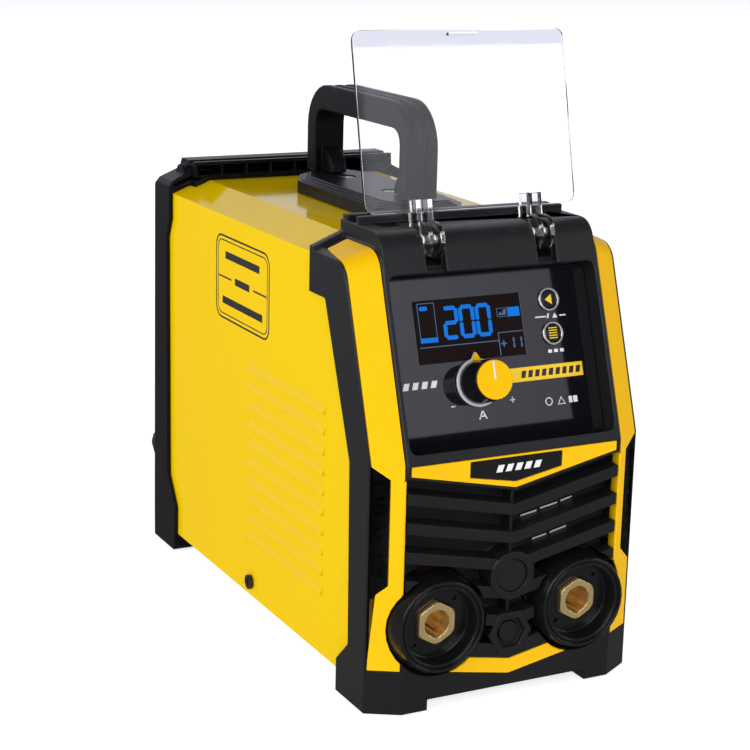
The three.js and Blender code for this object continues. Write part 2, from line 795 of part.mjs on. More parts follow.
function baseOutline(inset) {
  const x = 25 - inset;
  return [
    [x, 106 + inset], [x, 199 - inset * 0.5], [14.5 - inset * 0.6, 219 - inset],
    [-14.5 + inset * 0.6, 219 - inset], [-x, 199 - inset * 0.5], [-x, 106 + inset],
    [-18 + inset * 0.6, 94 + inset], [18 - inset * 0.6, 94 + inset],
  ];
}

function handleBase() {
  const lower = alongZ(baseOutline(0), sheetTop + gap, baseFlat);
  const steps = 3;
  const upper = Array.from({ length: steps }, (_, i) =>
    alongZ(baseOutline(2 * (i + 1)), baseFlat - 0.5, baseFlat + ((baseTop - baseFlat) * (i + 1)) / steps));
  const holes = handleScrews.map(([x, y]) => turnedZ(closedDisc(2.6, 215, 240), x, y, 12));
  const sinks = handleScrews.map(([x, y]) => turnedZ(closedDisc(5, 228, 240), x, y, 20));
  return without(joined([lower, ...upper]), [...holes, ...sinks]);
}

function handleScrew([x, y]) {
  const head = turnedZ(closedDisc(4.4, 228.3, 230.4), x, y, 20);
  const shank = turnedZ(closedDisc(2.2, 210, 228.8), x, y, 12);
  const socket = alongZ(polygon(x, y, 1.9, 6), 229.2, 232);
  return head.add(shank).subtract(socket);
}

// ---------- rear bezel ----------
function rearOutline(inset) {
  return bothSides([
    [halfWidth - inset, 0], [halfWidth - inset, 217], [73.2 - inset, 220.6 - inset * 0.5],
    [rearPlateX - inset * 0.5, 226.3 - inset], [rearPlateX - inset, rearTop - inset],
  ]);
}

const rearPlate = [279.6, 282.4];
const rearCell = { count: 8, span: 122, rib: 1.2, floor: 224.6, high: 230 };

// the row of blind cells in the plate's front, and one more in each sloping corner
function rearCells() {
  const { count, span, rib, floor, high } = rearCell;
  const section = [[240, floor], [270, floor], [270, 226], [257, high], [240, high]];
  const pitch = span / count;
  const cells = Array.from({ length: count }, (_, i) => {
    const x = -span / 2 + pitch * i;
    return alongX(section, x + rib / 2, x + pitch - rib / 2);
  });
  const corner = [[57, 222.9], [60.6, 223.6], [72, 218.9], [72, 217]];
  for (const side of [-1, 1]) cells.push(alongY(side > 0 ? corner : mirrored(corner), 240, 270));
  return joined(cells);
}

// the rounded bumpers that stand up on the bezel's corners
function cornerBumper(side) {
  const [x0, x1] = side > 0 ? [61, 66.5] : [-66.5, -61];
  return alongX([[263, 218], ...arc(269, 223.4, 6.2, 150, 20, 6), [276, 218]], x0, x1);
}

function rearPanel() {
  const block = alongY(rearOutline(0), 240, 300);
  const plate = alongX(
    [[rearStart, 199], [rearStart, 240], [258.5, rearTop], [285.8, 222], [285.5, 199]],
    -rearPlateX,
    rearPlateX,
  );
  const profile = alongX(
    [[261.7, -1], [258, 3], [257.5, 28], [269, 45], [269, 188], [rearCornerStart, 199],
      [rearCornerStart, 222.5], [267, 240], [272, 240], [287, 216], [rearEnd, 20], [rearEnd, -1]],
    -90, 90,
  );
  const shell = block.intersect(profile.add(plate));
  const inside = alongY(rearOutline(2.6), 200, rearPlate[0])
    .intersect(box(-90, 90, 271.5, 300, 199, 300).add(box(-90, 90, 200, 300, sheetBottom - 0.3, 199)));
  const outside = alongY(rearOutline(2.6), rearPlate[1], 320).intersect(box(-90, 90, 200, 330, 14, 300));
  let panel = without(shell.add(cornerBumper(-1)).add(cornerBumper(1)), [inside, outside, rearCells()]);
  panel = panel.subtract(sheetBlock(gap, 280.3));
  panel = panel.subtract(alongY(bothSides([[71, 11], [71, 214], [52, 219.5]]), 240, rearPlate[0]));
  const footGap = box(-44.9, 44.9, 240, 300, -1, 7);
  const vent = turnedY(closedDisc(fanR + 1, 270, 290), fanX, fanZ, 48);
  const switchHole = box(power.x - 14.3, power.x + 14.3, 270, 290, power.z - 11.3, power.z + 11.3);
  const glandHole = turnedY(closedDisc(8.3, 270, 290), glandX, glandZ, 24);
  const pads = footPads.slice(2).map((pad) => padPocket(pad));
  return without(panel, [footGap, vent, switchHole, glandHole, ...pads]);
}

function fanGuard() {
  const y0 = rearPlate[1] + gap;
  const y1 = y0 + 2;
  const rims = [[46, 43], [32, 30.6], [18, 16.6]];
  const rings = rims.map(([r1, r0]) => turnedY(closedRing(r0, r1, y0, y1), fanX, fanZ, 28));
  const hub = turnedY(closedDisc(4, y0, y1), fanX, fanZ, 12);
  const spokes = [0, 90].map((turn) => {
    const matrix = new THREE.Matrix4().makeRotationY((turn * Math.PI) / 180);
    matrix.premultiply(new THREE.Matrix4().makeTranslation(fanX, 0, fanZ));
    return box(-44, 44, y0, y1, -1.2, 1.2, matrix);
  });
  return joined([...rings, hub, ...spokes]);
}

const fanBack = 278.8;
const fanFront = 253.8;

function fanFrame() {
  const frame = box(fanX - 46, fanX + 46, fanFront, fanBack, fanZ - 46, fanZ + 46);
  const duct = turnedY(closedDisc(fanR, fanFront - 1, fanBack + 1), fanX, fanZ, 40);
  const motor = turnedY(closedDisc(15, fanFront, fanFront + 4), fanX, fanZ, 24);
  const struts = [0, 90].map((turn) => {
    const matrix = new THREE.Matrix4().makeRotationY(((turn + 45) * Math.PI) / 180);
    matrix.premultiply(new THREE.Matrix4().makeTranslation(fanX, 0, fanZ));
    return box(-43.5, 43.5, fanFront, fanFront + 3, -2, 2, matrix);
  });
  return joined([frame.subtract(duct), motor, ...struts]);
}

function fanRotor() {
  const hub = turnedY(closedDisc(15, fanFront + 4.6, fanBack - 2), fanX, fanZ, 24);
  const blades = [];
  const count = 7;
  for (let i = 0; i < count; i++) {
    const twist = new THREE.Matrix4().makeRotationX(0.55);
    const turn = new THREE.Matrix4().makeRotationY((2 * Math.PI * i) / count);
    const place = new THREE.Matrix4().makeTranslation(fanX, (fanFront + 4.6 + fanBack - 2) / 2, fanZ);
    blades.push(box(13, 39.5, -0.9, 0.9, -9, 9, place.multiply(turn).multiply(twist)));
  }
  return joined([hub, ...blades]);
}

const power = { x: 38, z: 192 };
const rockerTurn = 20; // degrees from off to on

function powerSwitchBody() {
  const { x, z } = power;
  const bezel = box(x - 16.5, x + 16.5, rearPlate[1] + gap, rearPlate[1] + 2.2, z - 13.5, z + 13.5);
  const body = box(x - 14, x + 14, 262, rearPlate[1] + 1, z - 11, z + 11);
  const well = box(x - 12.2, x + 12.2, 270, 300, z - 9.2, z + 9.2);
  return bezel.add(body).subtract(well);
}

function powerRocker() {
  const { x, z } = power;
  const pivot = rearPlate[1] - 4;
  const halfTurned = [[-5, -3], [5, -8.2], [7.4, -7.6], [5.2, 0], [7.4, 7.6], [5, 8.2], [-5, 3]];
  const off = (rockerTurn / 2) * (Math.PI / 180); // half its travel from level, top edge out
  const outline = halfTurned.map(([a, b]) => [
    pivot + a * Math.cos(off) + b * Math.sin(off),
    z - a * Math.sin(off) + b * Math.cos(off),
  ]);
  return alongX(outline, x - 11.8, x + 11.8);
}

function cableGland() {
  const y0 = rearPlate[1] + gap;
  const body = [
    [5, 270], [8, 270], [8, y0], [12, y0], [12, y0 + 6],
    [9.6, y0 + 6.4], [9.6, y0 + 9], [5, y0 + 9], [5, 270],
  ];
  return turnedY(body, glandX, glandZ, 24);
}

function glandNut() {
  const y0 = rearPlate[1] + gap + 9 + gap;
  const profile = [
    [5, y0], [11.2, y0], [11.2, y0 + 12], [9.4, y0 + 18], [7, glandEnd], [5, glandEnd], [5, y0],
  ];
  return turnedY(profile, glandX, glandZ, 12);
}

// ---------- inside ----------
function heatsink(side) {
  const [x0, x1] = side > 0 ? [6, 62] : [-62, -6];
  const base = box(x0, x1, 112, 236, 70, 76);
  const fins = Array.from({ length: 8 }, (_, i) => {
    const x = x0 + 1 + (i * (x1 - x0 - 4)) / 7;
    return box(x, x + 2, 112, 236, 22, 70.5);
  });
  return joined([base, ...fins]);
}

function mainBoard() {
  return box(-64, 64, 100, 240, 94, 95.6);
}

function capacitor(x, y) {
  const profile = [[0, 96], [15, 96], [15, 137], [14, 138], [0, 138]];
  return turnedZ(profile, x, y, 24);
}

function transformerCore() {
  const outerCore = box(-58, -8, 50, 84, 13, 68);
  const windows = [box(-50, -38, 40, 95, 22, 59), box(-28, -16, 40, 95, 22, 59)];
  return without(outerCore, windows);
}

function transformerWinding() {
  const coil = box(-49.6, -16.4, 44, 90, 22.4, 58.6);
  return coil.subtract(box(-38.4, -27.6, 49.6, 84.4, 10, 70));
}

function outputChoke() {
  const ring = [[10, 50], [23, 50], [24, 52], [24, 82], [23, 84], [10, 84], [10, 50]];
  return turnedY(ring, 33, 40, 32);
}

// ---------- assembly ----------
add("front_panel", frontPanel(), "blackPlastic");
for (const [side, word] of [[-1, "left"], [1, "right"]]) {
  add(`${word}_corner_trim`, cornerTrim(side), "yellowPlastic");
  add(`${word}_grip_insert`, gripInsert(side), "rubber");
  add(`${word}_socket_body`, socketBody(side), "blackPlastic");
  add(`${word}_socket_brass`, socketBrass(side), "brass");
  add(`${word}_bus_bar`, busBar(side), "copper");
  add(`${word}_hinge_pin`, hingePin(side), "clear");
  add(`${word}_side_screw`, sideScrewPiece(side), "steel");
  add(`${word}_heatsink`, heatsink(side), "aluminium");
}
add("upper_band", alongY(upperBandOutline(0), 0, trimInset).subtract(namePlate(gap)), "yellowPlastic");
add("name_plate", namePlate(0), "blackPlastic");
const lowerBand = alongY(lowerBandOutline(0), 0, trimInset);
add("lower_band", without(lowerBand, [-1, 1].map((side) => collarRoom(side, 0.9))), "yellowPlastic");
add("remote_port_plug", turnedY(closedDisc(bossRound.plug, 0.2, 2.7), 0, bossRound.z, 32), "blackPlastic");
add("gas_port_plug", turnedY(closedDisc(bossHex.plug, 1.4, 4.7), 0, bossHex.z, 24), "blackPlastic");

add("control_fascia", fascia(), "fascia", leaning);
add("display_window", box(windowX[0], windowX[1], 10, 11.2, ...windowS), "display", leaning);
add("display_module", box(-43, 19.6, 12, 18, 45, 78.6), "ferrite", leaning);
add("mode_button_ring", buttonRing(buttonS[0]), "silver", leaning);
add("menu_button_ring", buttonRing(buttonS[1]), "silver", leaning);
add("mode_button", pushButton(buttonS[0]), "blackPlastic", leaning);
add("menu_button", pushButton(buttonS[1]), "blackPlastic", leaning);
add("knob_skirt", knobSkirt(), "silver", leaning);
add("knob_grip", knobGrip(), "blackPlastic", leaning);
add("knob_cap", knobCap(), "yellowPlastic", leaning);
add("encoder_shaft", encoderShaft(), "steel", leaning);
add("encoder_body", encoderBody(), "steel", leaning);
add("control_board", controlBoard(), "board", leaning);
add("clear_cover", clearCover(), "clear", coverFrame);

add("housing_cover", housingCover(), "yellowSheet");
add("chassis_tray", chassisTray(), "zinc");
add("handle_base", handleBase(), "blackPlastic");
add("carry_handle", carryHandle(), "blackPlastic");
add("front_handle_screw", handleScrew(handleScrews[0]), "steel");
add("rear_handle_screw", handleScrew(handleScrews[1]), "steel");

add("rear_panel", rearPanel(), "blackPlastic");
add("fan_guard", fanGuard(), "blackPlastic");
add("fan_frame", fanFrame(), "blackPlastic");
add("fan_rotor", fanRotor(), "blackPlastic");
add("power_switch_body", powerSwitchBody(), "blackPlastic");
add("power_rocker", powerRocker(), "blackPlastic");
add("cable_gland", cableGland(), "blackPlastic");
add("gland_nut", glandNut(), "blackPlastic");

add("main_board", mainBoard(), "board");
add("left_capacitor", capacitor(-42, 125), "ferrite");
add("right_capacitor", capacitor(42, 125), "ferrite");
add("transformer_core", transformerCore(), "ferrite");
add("transformer_winding", transformerWinding(), "winding");
add("output_choke", outputChoke(), "ferrite");
for (const pad of footPads) add(pad.name, footPad(pad), "rubber");

machine.position.y = -(socketFace + glandEnd) / 2;
export default machine;
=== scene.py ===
import math

import bmesh
import bpy
from mathutils import Matrix, Vector


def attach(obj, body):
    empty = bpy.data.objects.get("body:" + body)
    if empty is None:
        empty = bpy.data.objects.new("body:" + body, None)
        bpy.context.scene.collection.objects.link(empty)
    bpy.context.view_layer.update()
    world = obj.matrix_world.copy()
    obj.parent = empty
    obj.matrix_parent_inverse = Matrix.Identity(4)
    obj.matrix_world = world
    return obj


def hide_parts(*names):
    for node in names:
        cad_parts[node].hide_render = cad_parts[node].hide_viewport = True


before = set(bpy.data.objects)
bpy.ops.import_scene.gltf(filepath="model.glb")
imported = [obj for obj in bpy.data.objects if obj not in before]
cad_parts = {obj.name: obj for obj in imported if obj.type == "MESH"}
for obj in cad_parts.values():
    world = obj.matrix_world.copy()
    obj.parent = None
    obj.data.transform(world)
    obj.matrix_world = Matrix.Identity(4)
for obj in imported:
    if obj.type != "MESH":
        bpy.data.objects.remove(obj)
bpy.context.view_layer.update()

MM = 0.001
FRONT_Y = -156.15  # the front plane of the bezel, in millimetres from the origin
SHEET_X = 72.5  # outside of the housing's side walls
LEAN = math.radians(18.8)  # how far the control panel leans back
PANEL_FOOT_Z = 125.9  # where the leaning face starts
PANEL_DEPTH = 10.0  # from the bezel's rim in to the fascia
KNOB_X, KNOB_S = -11.5, 35.6  # the knob's axis on the panel
CAP_FRONT = -8.0  # front of its cap, ahead of the rim
ROOM_DIM = (0.15, 0.155, 0.16)  # the room as a source of light and in reflections
ROOM_SEEN = (0.95, 0.95, 0.95)  # as the camera sees it, straight or through the clear cover
GLOW_TURNS = (0.55, 0.80)  # metres across, where a card's left glow gives way to its right one


# ---------- camera, floor and light ----------

def set_camera():
    """A long lens from the front left, a little above the case."""
    place = Vector((-0.4586, -0.88995, 0.3882))
    target = Vector((0.00021, -0.00615, 0.1276))
    roll = math.radians(1.37)
    ahead = (target - place).normalized()
    level = ahead.cross(Vector((0, 0, 1))).normalized()
    upright = level.cross(ahead)
    across = level * math.cos(roll) + upright * math.sin(roll)
    up = upright * math.cos(roll) - level * math.sin(roll)
    data = bpy.data.cameras.new("studio_camera")
    data.lens = 90.64
    data.sensor_width = 36
    data.clip_start = 0.05
    data.clip_end = 200
    camera = bpy.data.objects.new("studio_camera", data)
    turned = Matrix((across, up, -ahead)).transposed().to_4x4()
    camera.matrix_world = Matrix.Translation(place) @ turned
    bpy.context.scene.collection.objects.link(camera)
    bpy.context.scene.camera = camera


def softbox(name, place, aim, width, height, power):
    data = bpy.data.lights.new(name, "AREA")
    data.shape = "RECTANGLE"
    data.size = width
    data.size_y = height
    data.energy = power
    lamp = bpy.data.objects.new(name, data)
    lamp.location = place
    direction = Vector(aim) - Vector(place)
    lamp.rotation_euler = direction.to_track_quat("-Z", "Y").to_euler()
    bpy.context.scene.collection.objects.link(lamp)


def set_light():
    """A white room to look at, with little light of its own, and four softboxes."""
    world = bpy.data.worlds.new("studio_air")
    world.use_nodes = True
    tree = world.node_tree
    air = tree.nodes["Background"]
    ray = node(tree, "ShaderNodeLightPath").outputs
    seen = math_node(tree, "MAXIMUM", ray["Is Camera Ray"], ray["Is Transmission Ray"])
    tree.links.new(blend_colours(tree, seen, ROOM_DIM, ROOM_SEEN), air.inputs["Color"])
    bpy.context.scene.world = world
    middle = (0, 0, 0.12)  # about the middle of the case
    softbox("left_softbox", (-2.2, -0.7, 1.2), middle, 1.6, 1.6, 36)
    softbox("front_softbox", (-0.35, -2.3, 1.0), (0, 0, 0.15), 1.3, 1.2, 24)
    softbox("right_softbox", (2.4, -1.2, 1.0), middle, 1.0, 1.4, 14)
    softbox("top_softbox", (0.1, 1.6, 2.2), (0, 0, 0.1), 2.2, 1.0, 7)
    bpy.context.scene.view_settings.view_transform = "Standard"


def lay_floor():
    bm = bmesh.new()
    bmesh.ops.create_grid(bm, x_segments=1, y_segments=1, size=40)
    floor = piece_from(bm, "studio_floor", pale_floor(), None)


def hang_backdrop():
    """A bright sheet far behind, which the top faces reflect at a low angle."""
    bm = bmesh.new()
    bmesh.ops.create_grid(bm, x_segments=1, y_segments=1, size=1)
    stretch = Matrix.Diagonal((5, 1.2, 1, 1))
    upright = Matrix.Translation((0, 3.2, 1.2)) @ Matrix.Rotation(math.radians(90), 4, "X") @ stretch
    bmesh.ops.transform(bm, matrix=upright, verts=bm.verts)
    backdrop = piece_from(bm, "studio_backdrop", glowing_card("white_backdrop", 0.85, 0.85), None)
    backdrop.visible_camera = False


def mirrored_card(name, glass, corners, away, left_glow, right_glow):
    """A card placed so that the camera sees it mirrored inside an outline on a flat glossy face.

    glass turns the face's own places (x, depth in, height), in millimetres, into metres.
    """
    camera = glass.inverted() @ bpy.context.scene.camera.matrix_world.translation
    spread_out = (away - camera.y) / -camera.y
    bm = bmesh.new()
    ring = []
    for x, height in corners:
        far_x = camera.x + (x - camera.x) * spread_out
        far_height = camera.z + (height - camera.z) * spread_out
        ring.append(bm.verts.new((far_x, -away, far_height)))
    bm.faces.new(ring)
    bmesh.ops.transform(bm, matrix=glass, verts=bm.verts)
    card = piece_from(bm, name, glowing_card(name, left_glow, right_glow), None)
    card.visible_camera = False
    card.visible_diffuse = False
    card.visible_shadow = False
    card.visible_transmission = False


# ---------- material parts ----------

def node(tree, kind, **settings):
    made = tree.nodes.new(kind)
    for key, value in settings.items():
        setattr(made, key, value)
    return made


def math_node(tree, operation, first, second=None, clamp=False):
    made = node(tree, "ShaderNodeMath", operation=operation, use_clamp=clamp)
    for socket, value in zip(made.inputs, (first, second)):
        if isinstance(value, (int, float)):
            socket.default_value = value
        elif value is not None:
            tree.links.new(value, socket)
    return made.outputs[0]


def new_group(name, inputs, outputs):
    """A shader node group; inputs are (name, kind, default)."""
    tree = bpy.data.node_groups.new(name, "ShaderNodeTree")
    for label, kind, default in inputs:
        socket = tree.interface.new_socket(label, in_out="INPUT", socket_type=kind)
        if default is not None:
            socket.default_value = default
    for label, kind in outputs:
        tree.interface.new_socket(label, in_out="OUTPUT", socket_type=kind)
    return tree, node(tree, "NodeGroupInput"), node(tree, "NodeGroupOutput")


def surface_grain_group():
    """Fine texture and slow colour drift of a moulded or painted surface."""
    tree, given, made = new_group(
        "surface_grain",
        [("Place", "NodeSocketVector", None), ("Pitch", "NodeSocketFloat", 1500.0),
         ("Drift", "NodeSocketFloat", 12.0)],
        [("Height", "NodeSocketFloat"), ("Tone", "NodeSocketFloat")])
    links = tree.links
    fine = node(tree, "ShaderNodeTexNoise")
    fine.inputs["Detail"].default_value = 3
    links.new(given.outputs["Place"], fine.inputs["Vector"])
    links.new(given.outputs["Pitch"], fine.inputs["Scale"])
    slow = node(tree, "ShaderNodeTexNoise")
    slow.inputs["Detail"].default_value = 4
    links.new(given.outputs["Place"], slow.inputs["Vector"])
    links.new(given.outputs["Drift"], slow.inputs["Scale"])
    links.new(fine.outputs["Fac"], made.inputs["Height"])
    links.new(slow.outputs["Fac"], made.inputs["Tone"])
    return tree


def edge_wear_group():
    """A mask that is 1 on the edges of a piece, broken up by noise."""
    tree, given, made = new_group(
        "edge_wear",
        [("Place", "NodeSocketVector", None), ("Radius", "NodeSocketFloat", 0.0006),
         ("Reach", "NodeSocketFloat", 3.0)],
        [("Mask", "NodeSocketFloat"), ("Soft Normal", "NodeSocketVector")])
    links = tree.links
    rounded = node(tree, "ShaderNodeBevel", samples=4)
    links.new(given.outputs["Radius"], rounded.inputs["Radius"])
    flat = node(tree, "ShaderNodeNewGeometry")
    dot = node(tree, "ShaderNodeVectorMath", operation="DOT_PRODUCT")
    links.new(rounded.outputs["Normal"], dot.inputs[0])
    links.new(flat.outputs["Normal"], dot.inputs[1])
    bend = math_node(tree, "SUBTRACT", 1.0, dot.outputs["Value"], clamp=True)
    rubbed = node(tree, "ShaderNodeTexNoise")
    rubbed.inputs["Scale"].default_value = 260
    rubbed.inputs["Detail"].default_value = 5
    links.new(given.outputs["Place"], rubbed.inputs["Vector"])
    patch = math_node(tree, "MULTIPLY", rubbed.outputs["Fac"], given.outputs["Reach"])
    links.new(math_node(tree, "MULTIPLY", bend, patch, clamp=True), made.inputs["Mask"])
    links.new(rounded.outputs["Normal"], made.inputs["Soft Normal"])
    return tree


def settled_dust_group():
    """A mask of light dust that lies on faces that look up."""
    tree, given, made = new_group(
        "settled_dust",
        [("Place", "NodeSocketVector", None), ("Amount", "NodeSocketFloat", 0.3)],
        [("Mask", "NodeSocketFloat")])
    links = tree.links
    facing = node(tree, "ShaderNodeNewGeometry")
    split = node(tree, "ShaderNodeSeparateXYZ")
    links.new(facing.outputs["Normal"], split.inputs[0])
    lifted = math_node(tree, "SUBTRACT", split.outputs["Z"], 0.4, clamp=True)
    specks = node(tree, "ShaderNodeTexNoise")
    specks.inputs["Scale"].default_value = 90
    specks.inputs["Detail"].default_value = 8
    links.new(given.outputs["Place"], specks.inputs["Vector"])
    thick = math_node(tree, "MULTIPLY", specks.outputs["Fac"], given.outputs["Amount"])
    links.new(math_node(tree, "MULTIPLY", lifted, thick, clamp=True), made.inputs["Mask"])
    return tree


def group_in(tree, name, place, **values):
    made = node(tree, "ShaderNodeGroup", node_tree=GROUPS[name])
    tree.links.new(place, made.inputs["Place"])
    for label, value in values.items():
        made.inputs[label].default_value = value
    return made


def blend_colours(tree, mask, first, second):
    """first where the mask is 0 and second where it is 1; each is a colour or a socket."""
    made = node(tree, "ShaderNodeMix", data_type="RGBA")
    colours = [s for s in made.inputs if s.type == "RGBA"]
    for socket, value in zip(colours, (first, second)):
        if isinstance(value, tuple):
            socket.default_value = (*value, 1)
        else:
            tree.links.new(value, socket)
    tree.links.new(mask, made.inputs["Factor"])
    return [s for s in made.outputs if s.type == "RGBA"][0]


def spread(tree, value, low, high):
    made = node(tree, "ShaderNodeMapRange")
    made.inputs["From Min"].default_value = 0.3
    made.inputs["From Max"].default_value = 0.7
    made.inputs["To Min"].default_value = low
    made.inputs["To Max"].default_value = high
    tree.links.new(value, made.inputs["Value"])
    return made.outputs["Result"]


def new_material(name):
    material = bpy.data.materials.new(name)
    material.use_nodes = True
    tree = material.node_tree
    place = node(tree, "ShaderNodeTexCoord").outputs["Object"]
    return material, tree, tree.nodes["Principled BSDF"], place


def finish_of(name, colour, rough, *, drift_colour=None, edge_colour=None, metallic=0.0, grain=1500.0,
              relief=0.00002, drift=12.0, wear=2.0, radius=0.0005, dust=0.0, specular=0.5):
    """A hard surface: colour drift, fine grain, rubbed edges and a little dust."""
    material, tree, shader, place = new_material(name)
    surface = group_in(tree, "surface_grain", place, Pitch=grain, Drift=drift)
    edges = group_in(tree, "edge_wear", place, Radius=radius, Reach=wear)
    drifted = drift_colour or tuple(c * 0.86 for c in colour)
    edged = edge_colour or tuple(min(1.0, c * 1.25 + 0.01) for c in colour)
    base = blend_colours(tree, surface.outputs["Tone"], drifted, colour)
    base = blend_colours(tree, edges.outputs["Mask"], base, edged)
    if dust:
        film = group_in(tree, "settled_dust", place, Amount=dust)
        base = blend_colours(tree, film.outputs["Mask"], base, (0.5, 0.48, 0.45))
    tree.links.new(base, shader.inputs["Base Color"])
    rubbed = spread(tree, surface.outputs["Tone"], rough * 0.9, rough * 1.12)
    tree.links.new(rubbed, shader.inputs["Roughness"])
    shader.inputs["Metallic"].default_value = metallic
    shader.inputs["Specular IOR Level"].default_value = specular
    bump = node(tree, "ShaderNodeBump")
    bump.inputs["Distance"].default_value = relief
    tree.links.new(surface.outputs["Height"], bump.inputs["Height"])
    tree.links.new(edges.outputs["Soft Normal"], bump.inputs["Normal"])
    tree.links.new(bump.outputs["Normal"], shader.inputs["Normal"])
    return material


def clear_acrylic():
    """Polished clear sheet with a few hair-fine scratches."""
    material, tree, shader, place = new_material("clear_acrylic")
    shader.inputs["Base Color"].default_value = (0.97, 0.985, 0.99, 1)
    shader.inputs["Transmission Weight"].default_value = 1.0
    shader.inputs["IOR"].default_value = 1.49
    scratches = node(tree, "ShaderNodeTexNoise")
    scratches.inputs["Scale"].default_value = 60
    scratches.inputs["Detail"].default_value = 6
    tree.links.new(place, scratches.inputs["Vector"])
    rough = spread(tree, scratches.outputs["Fac"], 0.01, 0.05)
    tree.links.new(rough, shader.inputs["Roughness"])
    return material


def cool(glow):
    """A slightly blue light."""
    return glow * 0.97, glow * 0.97, glow * 1.12


def glowing_card(name, left_glow, right_glow):
    """A studio card whose glow runs from one value at its left to another at its right."""
    material, tree, shader, place = new_material(name)
    split = node(tree, "ShaderNodeSeparateXYZ")
    tree.links.new(place, split.inputs[0])
    across = node(tree, "ShaderNodeMapRange")
    across.inputs["From Min"].default_value = GLOW_TURNS[0]
    across.inputs["From Max"].default_value = GLOW_TURNS[1]
    tree.links.new(split.outputs["X"], across.inputs["Value"])
    glow = blend_colours(tree, across.outputs["Result"], cool(left_glow), cool(right_glow))
    tree.links.new(glow, shader.inputs["Emission Color"])
    shader.inputs["Emission Strength"].default_value = 1.0
    shader.inputs["Base Color"].default_value = (0, 0, 0, 1)
    shader.inputs["Specular IOR Level"].default_value = 0.0
    return material


def lit_segment(name, colour, strength):
    """Glowing part of the display, with a slight drift in its colour."""
    material, tree, shader, place = new_material(name)
    surface = group_in(tree, "surface_grain", place, Pitch=900.0, Drift=60.0)
    glow = blend_colours(tree, surface.outputs["Tone"], tuple(c * 0.8 for c in colour), colour)
    tree.links.new(glow, shader.inputs["Emission Color"])
    shader.inputs["Base Color"].default_value = (0.0, 0.004, 0.01, 1)
    shader.inputs["Emission Strength"].default_value = strength
    shader.inputs["Roughness"].default_value = 0.3
    shader.inputs["Specular IOR Level"].default_value = 0.05
    return material


def pale_floor():
    """White paper with a glow of its own, dimmer where it is only mirrored in a glossy face."""
    material, tree, shader, place = new_material("pale_floor")
    surface = group_in(tree, "surface_grain", place, Pitch=40.0, Drift=0.6)
    ray = node(tree, "ShaderNodeLightPath").outputs
    mirrored = math_node(tree, "SUBTRACT", ray["Is Glossy Ray"], ray["Is Transmission Ray"], clamp=True)
    paper = blend_colours(tree, surface.outputs["Tone"], (0.74, 0.74, 0.74), (0.77, 0.77, 0.77))
    dim = (0.12, 0.12, 0.12)
    tree.links.new(blend_colours(tree, mirrored, paper, dim), shader.inputs["Base Color"])
    glow = blend_colours(tree, mirrored, (0.74, 0.745, 0.75), dim)
    tree.links.new(glow, shader.inputs["Emission Color"])
    shader.inputs["Emission Strength"].default_value = 1.0
    shader.inputs["Roughness"].default_value = 0.9
    shader.inputs["Specular IOR Level"].default_value = 0.0
    return material


GROUPS = {
    "surface_grain": surface_grain_group(),
    "edge_wear": edge_wear_group(),
    "settled_dust": settled_dust_group(),
}

